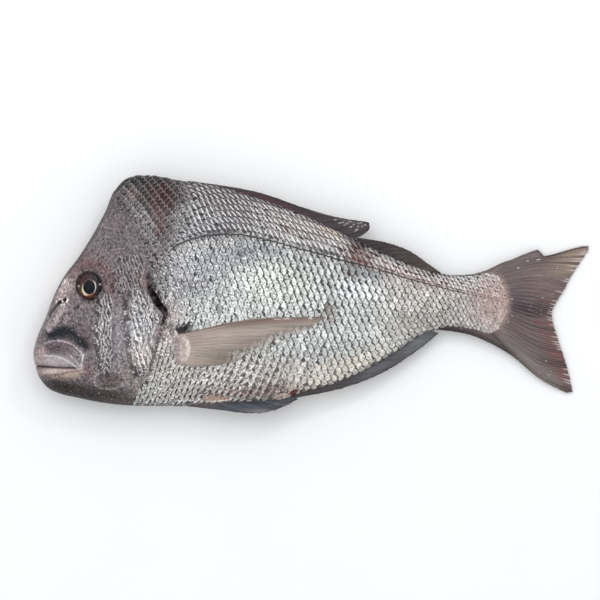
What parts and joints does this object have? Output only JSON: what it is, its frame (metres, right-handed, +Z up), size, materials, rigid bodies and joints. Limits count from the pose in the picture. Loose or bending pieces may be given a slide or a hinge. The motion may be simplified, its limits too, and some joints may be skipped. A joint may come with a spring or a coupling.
{
  "type": "whole raw fish",
  "caption": "Whole raw sea bream with a humped nape, lying on its right side, scaled flank up, fins folded and forked tail spread.",
  "frame": {"origin": "on the surface the fish lies on, under the middle of its box", "axes": "+X from the snout to the tail, +Y from the belly to the back, +Z up out of the left flank"},
  "size_m": [0.557, 0.2392, 0.0707],
  "materials": {
    "scaled_skin": "wet silver-grey scales with dark bases, mauve-grey bare head, glossy",
    "fin": "thin wet fin skin over fine rays, tan to dark purple-brown, glossy",
    "eye": "clear wet dome over a blue-black pupil, gold ring and red-brown iris"
  },
  "bodies": {
    "root": {"fish": "scaled_skin", "eye_left": "eye", "eye_right": "eye"}
  },
  "joints": []
}
